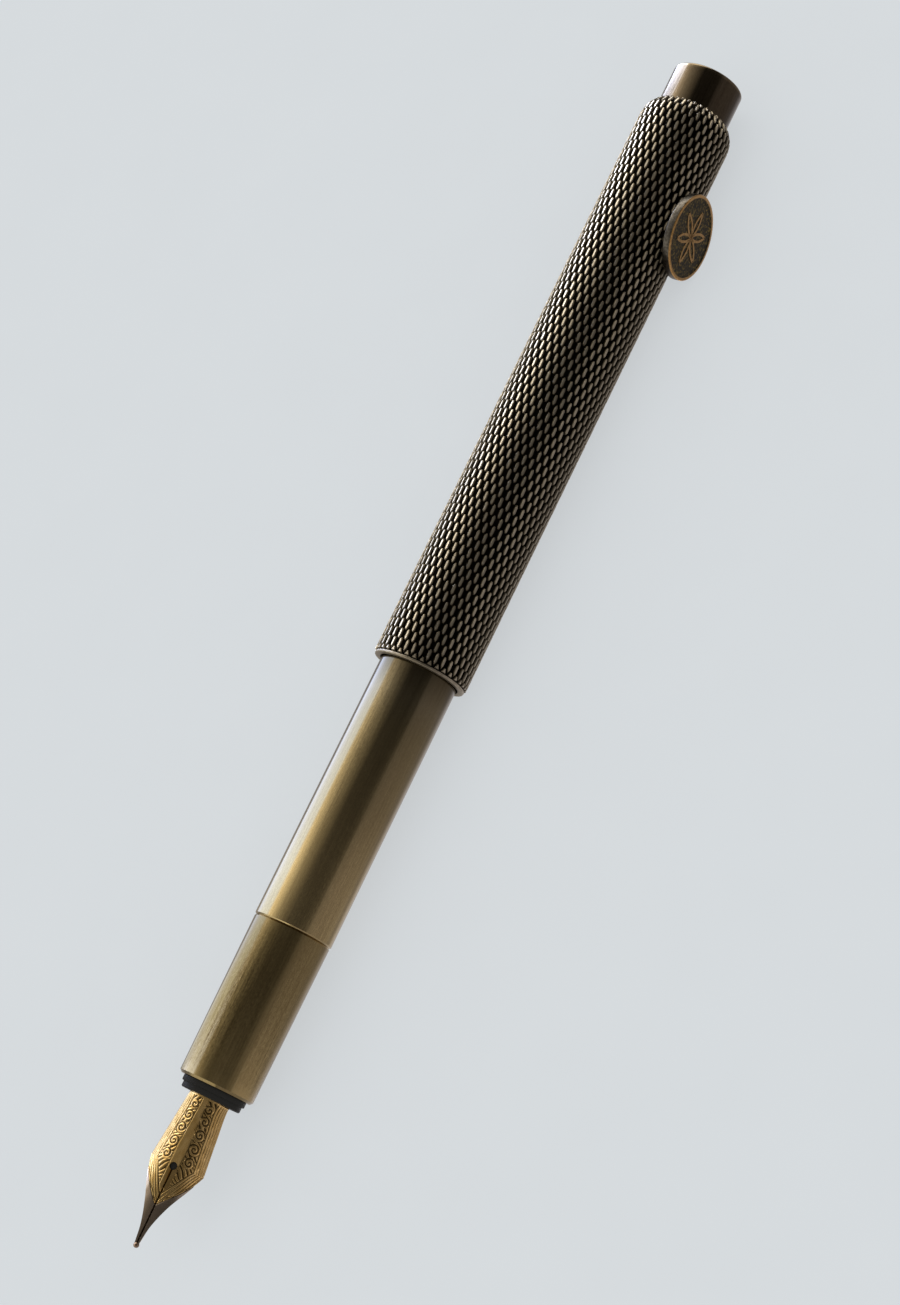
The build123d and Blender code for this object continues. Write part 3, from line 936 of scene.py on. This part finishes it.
def stretched_noise(tree, length, width, detail=3.0):
    """Noise on the pen, length along it and width across it."""
    place_node = add_node(tree, "ShaderNodeTexCoord")
    mapping = add_node(tree, "ShaderNodeMapping",
                       {"Scale": (1 / length, 1 / width, 1 / width)},
                       {"Vector": place_node.outputs["Object"]})
    noise = add_node(tree, "ShaderNodeTexNoise", {"Scale": 1.0, "Detail": detail},
                     {"Vector": mapping.outputs["Vector"]})
    return noise.outputs["Fac"]


# %% Patinated brass
STREAK_WIDTH = 0.2 * MM
STREAK_LENGTH = 8 * MM
GRAIN = 0.14 * MM
GRAIN_SHARE = 0.45


def patinated_brass(name, dark, rubbed, roughness, tones_and_shade=()):
    """Darkened brass: lengthwise streaks, fine grain and, if given, tones and painted shade
    along it.
    """
    material, tree, shader = new_material(name)
    fine = stretched_noise(tree, STREAK_LENGTH, STREAK_WIDTH)
    grain = stretched_noise(tree, 3 * GRAIN, GRAIN, 1.0)
    mixed = add_node(tree, "ShaderNodeMath", {"operation": "MULTIPLY_ADD", 1: GRAIN_SHARE},
                     {0: grain, 2: span(tree, fine, 0.0, 1.0, 0.0, 1 - GRAIN_SHARE)}).outputs[0]
    colour = colour_steps(tree, mixed, (0.3, dark), (0.7, rubbed))
    if tones_and_shade:
        # Tones along the pen multiply the colour; on the barrel they are painted shade, darker
        # towards the cap.
        spot = add_node(tree, "ShaderNodeTexCoord")
        parts = add_node(tree, "ShaderNodeSeparateXYZ", links={"Vector": spot.outputs["Object"]})
        first, last = from_tip(tones_and_shade[0][0]), from_tip(tones_and_shade[-1][0])
        steps = [((from_tip(station) - first) / (last - first), code) for station, code in tones_and_shade]
        tone_and_shade = colour_steps(tree, span(tree, parts.outputs["X"], first, last), *steps)
        colour = mix(tree, 1.0, colour, tone_and_shade, "MULTIPLY")
    tree.links.new(colour, shader.inputs["Base Color"])
    shader.inputs["Metallic"].default_value = 1.0
    tree.links.new(span(tree, mixed, 0.3, 0.7, roughness - 0.04, roughness + 0.06),
                   shader.inputs["Roughness"])
    grain_bump(tree, shader, mixed, 0.12, 0.01 * MM)
    return material


# %% [markdown]
# The grip is the most golden. The barrel is palest at the grip and darkens towards the cap's
# mouth: that is painted shade, standing in for the cap's shadow and the dimmer reflection there.
# The finial is grey-brown with a bright edge round its end. Tones are (station, colour) pairs.

# %% Grip, barrel and finial
grip_brass = patinated_brass("patinated_brass_grip", "#7B6A45", "#8F7F58", 0.1)
# The barrel's tones are painted shade: lighter near the grip, darker towards the cap's mouth.
barrel_brass_with_painted_shade = patinated_brass(
    "patinated_brass_barrel_with_painted_shade", "#B9A67C", "#D6C394", 0.12,
    [(39.9, "#D6D2C6"), (46, "#D2CEC4"), (56, "#B4B1AA"), (66, "#9E9D9A"), (70, "#94959A"),
     (73.9, "#6A6A6C"), (124.9, "#8A8A8A")])
finial_brass = patinated_brass(
    "patinated_brass_finial", "#867860", "#A89A7E", 0.12,
    [(148.4, "#8A8785"), (156.9, "#8A8785"), (157.3, "#D0CCC4"), (157.5, "#C0BCB4")])
coat(cad("section_shell"), grip_brass)
coat(cad("barrel_tube", "barrel_end_plug"), barrel_brass_with_painted_shade)
coat(cad("cap_finial", "roll_stop_post"), finial_brass)

# %% [markdown]
# ### Knurled brass
# The bath blackens the grooves, and handling rubs the crests back to pale brass. The knurl's
# own height, stored on its points, tells one from the other.

# %% Knurled brass
TARNISH = 0.5 * MM
TARNISH_SHARE = 0.3
knurled, tree, shader = new_material("rolled_knurl_brass")
height = add_node(tree, "ShaderNodeAttribute", {"attribute_name": "knurl_height"})
tarnish = stretched_noise(tree, TARNISH, TARNISH, 2.0)
rubbing = add_node(tree, "ShaderNodeMath", {"operation": "MULTIPLY_ADD", 1: TARNISH_SHARE},
                   {0: tarnish, 2: height.outputs["Fac"]}).outputs[0]
colour = colour_steps(tree, rubbing, (0.15, "#0F0D09"), (0.45, "#353024"), (0.75, "#7A7160"),
                      (1.0, "#B4AA94"))
tree.links.new(colour, shader.inputs["Base Color"])
shader.inputs["Metallic"].default_value = 1.0
tree.links.new(span(tree, height.outputs["Fac"], 0.0, 1.0, 0.75, 0.36),
               shader.inputs["Roughness"])
coat([sleeve], knurled)

# %% [markdown]
# ### Roll stop
# The coin's face kept its dark bath and is mottled by it, so it looks dull and almost black.
# Rim and rosette are rubbed back to a warm brown gold, and the side to a plain grey. The
# mottling is noise with blotches a quarter of a millimetre wide.

# %% Mottled coin brass
MOTTLE = 0.28 * MM
stop_brass, tree, shader = new_material("bath_darkened_coin_brass")
worn = add_node(tree, "ShaderNodeAttribute", {"attribute_name": "worn"})
mottle = stretched_noise(tree, MOTTLE, MOTTLE, 3.0)
face_colour = colour_steps(tree, mottle, (0.4, "#120E04"), (0.54, "#2E250E"), (0.7, "#75602C"))
rim_colour = colour_steps(tree, mottle, (0.3, "#A57D42"), (0.7, "#D0A566"))
side_colour = colour_steps(tree, mottle, (0.3, "#3A3731"), (0.7, "#68635A"))
to_side = span(tree, worn.outputs["Fac"], 0.0, SIDE_WORN)
to_rim = span(tree, worn.outputs["Fac"], SIDE_WORN, 1.0)
colour = mix(tree, to_rim, mix(tree, to_side, face_colour, side_colour), rim_colour)
tree.links.new(colour, shader.inputs["Base Color"])
tree.links.new(span(tree, worn.outputs["Fac"], 0.0, SIDE_WORN, 0.3, 1.0),
               shader.inputs["Metallic"])
shader.inputs["Specular IOR Level"].default_value = 0.1
tree.links.new(span(tree, worn.outputs["Fac"], 0.0, 1.0, 0.42, 0.22), shader.inputs["Roughness"])
grain_bump(tree, shader, mottle, 0.5, 0.03 * MM)
coat([coin], stop_brass)

# %% [markdown]
# ### Gold plate
# The nib is steel with polished gold plate. The cuts hold dark tarnish, and the tines past the
# chevron are plated with rhodium, which looks grey beside the gold.

# %% Engraved gold and rhodium
plated, tree, shader = new_material("gold_and_rhodium_plate")
cut = add_node(tree, "ShaderNodeAttribute", {"attribute_name": "cut"})
tine = add_node(tree, "ShaderNodeAttribute", {"attribute_name": "tine"})
cloud = stretched_noise(tree, 1.2 * MM, 0.6 * MM, 3.0)
gold_colour = colour_steps(tree, cloud, (0.3, "#C19D5C"), (0.7, "#D8B778"))
rhodium_colour = colour_steps(tree, cloud, (0.3, "#A1917D"), (0.7, "#B3A28E"))
plating = mix(tree, tine.outputs["Fac"], gold_colour, rhodium_colour)
tarnished = mix(tree, span(tree, cut.outputs["Fac"], 0.25, 0.9), plating, linear("#2A1F0E"))
tree.links.new(tarnished, shader.inputs["Base Color"])
shader.inputs["Metallic"].default_value = 1.0
tree.links.new(span(tree, cut.outputs["Fac"], 0.0, 1.0, 0.14, 0.5), shader.inputs["Roughness"])
coat([nib], plated)

# %% [markdown]
# ### Plastics, rubber and plain metal
# Moulded plastic is never quite even in its gloss, and a fine grain of a tenth of a millimetre
# shows that. The same function serves the seals and the plain metal pieces.

# %% Other finishes
LIGHTER = 1.25


def plain_finish(name, code, roughness, metallic=0.0, grain=0.1 * MM, **sockets):
    """A finish with a fine grain in its gloss and surface."""
    material, tree, shader = new_material(name)
    noise = stretched_noise(tree, grain, grain, 2.0)
    light = [min(1.0, channel * LIGHTER) for channel in linear(code)[:3]]
    tree.links.new(mix(tree, noise, linear(code), light + [1]), shader.inputs["Base Color"])
    grain_bump(tree, shader, noise, 0.15, 0.01 * MM)
    shader.inputs["Metallic"].default_value = metallic
    tree.links.new(span(tree, noise, 0.3, 0.7, roughness * 0.85, roughness * 1.2),
                   shader.inputs["Roughness"])
    for key, value in sockets.items():
        shader.inputs[key.replace("_", " ")].default_value = value
    return material


# %% Coat the other pieces
# Moulded ABS: near black and dull, so the collar reads as a dark gap between two metals.
black_abs = plain_finish("black_abs_moulded", "#272624", 0.45, Specular_IOR_Level=0.03)
# Moulded nylon: milky white and waxy.
nylon = plain_finish("white_nylon_moulded", "#D8D6CE", 0.45)
# Nitrile rubber: black with no highlight to speak of.
rubber = plain_finish("black_nitrile_rubber", "#0D0D0D", 0.6)
# Chromed steel: bright and cool.
chrome = plain_finish("chromed_steel", "#C9CBCC", 0.14, 1.0)
# Iridium alloy, ground: a small warm grey glint at the very tip.
iridium = plain_finish("ground_iridium_alloy", "#8F7A66", 0.35, 1.0)
# Brass as it leaves the lathe, without the bath: plain yellow.
raw_brass = plain_finish("turned_raw_brass", "#C9A860", 0.25, 1.0)
# Clear SAN: lets the ink and the piston show.
clear = plain_finish("clear_san_moulded", "#F4F7F8", 0.08, Transmission_Weight=1.0, IOR=1.57)
coat(cad("nib_tipping"), iridium)
coat([housing, core, knob] + cad("feed", "converter_socket", "cap_liner"), black_abs)
coat(cad("converter_spindle", "piston_carrier", "barrel_washer"), nylon)
coat(cad("section_o_ring", "nib_gasket", "posting_o_ring", "piston_seal"), rubber)
coat(cad("converter_collar", "cap_clutch_ring"), chrome)
coat(cad("barrel_thread_bush"), raw_brass)
coat(cad("converter_tube"), clear)

# %% [markdown]
# ## The studio
# The desk is a light table: opal acrylic lit from below as well as above, which leaves hardly
# any shadow. The metal doesn't mirror the desk, as if it stood in a tent of soft panels.

# %% Light table
FLOOR_SIZE = 6.0
FLOOR_GLOW = 0.77
HAZE = 12 * MM
start_clean()
bpy.ops.mesh.primitive_plane_add(size=FLOOR_SIZE, location=(0, 0, 0))
floor = settle("floor")
opal, tree, shader = new_material("opal_acrylic_lit_from_below")
haze = stretched_noise(tree, HAZE, HAZE, 2.0)
tree.links.new(colour_steps(tree, haze, (0.3, "#787C7E"), (0.7, "#7A7E80")),
               shader.inputs["Base Color"])
shader.inputs["Emission Color"].default_value = linear("#D7DBDE")
shader.inputs["Emission Strength"].default_value = FLOOR_GLOW
shader.inputs["Roughness"].default_value = 0.9
shader.inputs["Specular IOR Level"].default_value = 0.0
coat([floor], opal)
floor.visible_glossy = False

# %% [markdown]
# Matt things see one even sky. Metal sees soft panels round the pen's axis. The angle round it
# is counted from the horizon behind the pen. How far a direction leans towards the cap's end
# tells which part of the pen mirrors it, because the camera sees each part from another side.

# %% Directions
LEAN_LOW = -0.1
LEAN_HIGH = 0.7
scene = bpy.context.scene
scene.view_settings.view_transform = "Standard"
world = bpy.data.worlds.new("studio")
scene.world = world
world.use_nodes = True
sky = world.node_tree
direction = add_node(sky, "ShaderNodeTexCoord")
parts = add_node(sky, "ShaderNodeSeparateXYZ", links={"Vector": direction.outputs["Generated"]})
angle = add_node(sky, "ShaderNodeMath", {"operation": "ARCTAN2"},
                 {0: parts.outputs["Z"], 1: parts.outputs["Y"]})


def by_lean(*steps):
    """A grey value that changes with the lean, from (lean, value) steps."""
    lean = span(sky, parts.outputs["X"], LEAN_LOW, LEAN_HIGH)
    reach = LEAN_HIGH - LEAN_LOW
    return linear_steps(sky, lean, [((x - LEAN_LOW) / reach, (value, value, value, 1))
                                    for x, value in steps])


print("leans from", LEAN_LOW, "to", LEAN_HIGH, "have steps of their own")

# %% [markdown]
# The panels don't hang at one height. The skew says how much further round they stand beside
# each part than beside the grip, which moves the bright line on the metal. The angle becomes a
# fraction of a full turn, which starts straight below the pen.

# %% Angle round the pen
SKEW = math.radians(12)
NIB_SKEW = 1.7
skewed = by_lean((0.0165, NIB_SKEW), (0.0225, 0), (0.04, 0), (0.09, 1), (0.2, 1), (0.3, 0.2),
                 (0.4, 0.6))
shifted = add_node(sky, "ShaderNodeMath", {"operation": "MULTIPLY_ADD", 1: -SKEW},
                   {0: skewed, 2: angle.outputs[0]})
turns = add_node(sky, "ShaderNodeMath", {"operation": "MULTIPLY_ADD", 1: 0.5 / math.pi, 2: 0.25},
                 {0: shifted.outputs[0]})
ring = add_node(sky, "ShaderNodeMath", {"operation": "FRACT"}, {0: turns.outputs[0]})
print("panels move by up to %.0f degrees" % math.degrees(NIB_SKEW * SKEW))

# %% [markdown]
# A ring of panels starts with a dim floor. A white panel low behind the pen draws the crisp
# line on brass, and a warm glow falls off above it. Overhead is a dark gap, and in front hangs
# a dim grey panel. Each list holds (angle in degrees, light) pairs.

# %% One ring of panels
FLOOR_LIGHT = [(-90, (0.6, 0.57, 0.57)), (-42, (0.36, 0.34, 0.33)), (-32, (0.6, 0.6, 0.6))]
WHITE_FROM = -27
WHITE_TO = 21
GLOW_TINT = (1.0, 0.93, 0.84)
GLOW_LEVELS = [(27, 2.1), (40, 1.4), (54, 0.7), (70, 0.38)]
GAP_TINT = (1.0, 0.94, 0.92)
GAP_LEVELS = [(90, 0.12), (125, 0.095), (146, 0.14)]
FRONT_LIGHT = [(153, (0.33, 0.31, 0.33)), (172, (0.38, 0.35, 0.37)), (225, (0.45, 0.42, 0.44)),
               (240, (0.4, 0.38, 0.4)), (256, (0.68, 0.65, 0.68))]


def scaled(light, factor):
    """A light made stronger or weaker."""
    return tuple(part * factor for part in light)


def ring_of_panels(white, glow, gap=1.0, front=1.0):
    """Light from all round the pen, with the strength of each of its panels."""
    steps = FLOOR_LIGHT + [(WHITE_FROM, white), (WHITE_TO, white)]
    steps = steps + [(spot, scaled(GLOW_TINT, level * glow)) for spot, level in GLOW_LEVELS]
    steps = steps + [(spot, scaled(GAP_TINT, level * gap)) for spot, level in GAP_LEVELS]
    steps = steps + [(spot, scaled(light, front)) for spot, light in FRONT_LIGHT]
    return linear_steps(sky, ring.outputs[0],
                        [((spot + 90) / 360, (*light, 1)) for spot, light in steps])


# %% [markdown]
# Each part of the pen has a ring to itself, set as bright as that part needs, and one ring
# fades into the next along the pen. The nib's ring is bright and cool, the grip's is dim, the
# knurl's has a strong glow, and the finial's has a very bright white. What faces the nib's end
# sees an evenly lit ring, which draws a thin line on the front edge of every turned piece.

# %% The rings along the pen
nib_ring = ring_of_panels((3.8, 4.4, 7.0), 0.75, 3.0, 3.0)
grip_ring = ring_of_panels((1.5, 1.55, 1.55), 0.42)
joint_ring = ring_of_panels((1.7, 2.1, 3.5), 1.1)
barrel_ring = ring_of_panels((3.3, 3.9, 5.8), 0.88)
knurl_ring = ring_of_panels((2.3, 2.3, 2.4), 3.0, 0.36, 0.65)
finial_ring = ring_of_panels((17.0, 19.0, 26.0), 0.5)
end_ring = ring_of_panels((1.2, 1.15, 1.1), 0.7, 4.5, 1.2)
panels = mix(sky, by_lean((-0.08, 1), (-0.06, 0), (0.0165, 0), (0.0205, 1)), nib_ring,
             grip_ring)
for next_part, steps in (
        (joint_ring, [(0.06, 0), (0.09, 1)]),
        (barrel_ring, [(0.09, 0), (0.19, 1)]),
        (knurl_ring, [(0.195, 0), (0.22, 1)]),
        (finial_ring, [(0.405, 0), (0.415, 1), (0.52, 1), (0.58, 0)])):
    panels = mix(sky, by_lean(*steps), panels, next_part)
panels = mix(sky, span(sky, parts.outputs["X"], -0.45, -0.7), panels, end_ring)
print("rings along the pen: 6, and 1 towards the nib's end")

# %% Panels for metal, even sky for the rest
SKY_LEVEL = 0.8
panel_light = add_node(sky, "ShaderNodeBackground", {"Strength": 1.0}, {"Color": panels})
even_light = add_node(sky, "ShaderNodeBackground",
                      {"Strength": SKY_LEVEL, "Color": linear("#FFFFFF")})
ray = add_node(sky, "ShaderNodeLightPath")
choice = add_node(sky, "ShaderNodeMixShader",
                  links={"Fac": ray.outputs["Is Glossy Ray"], 1: even_light.outputs[0],
                         2: panel_light.outputs[0]})
sky.links.new(choice.outputs[0], sky.nodes["World Output"].inputs["Surface"])
print("sky nodes:", len(sky.nodes))
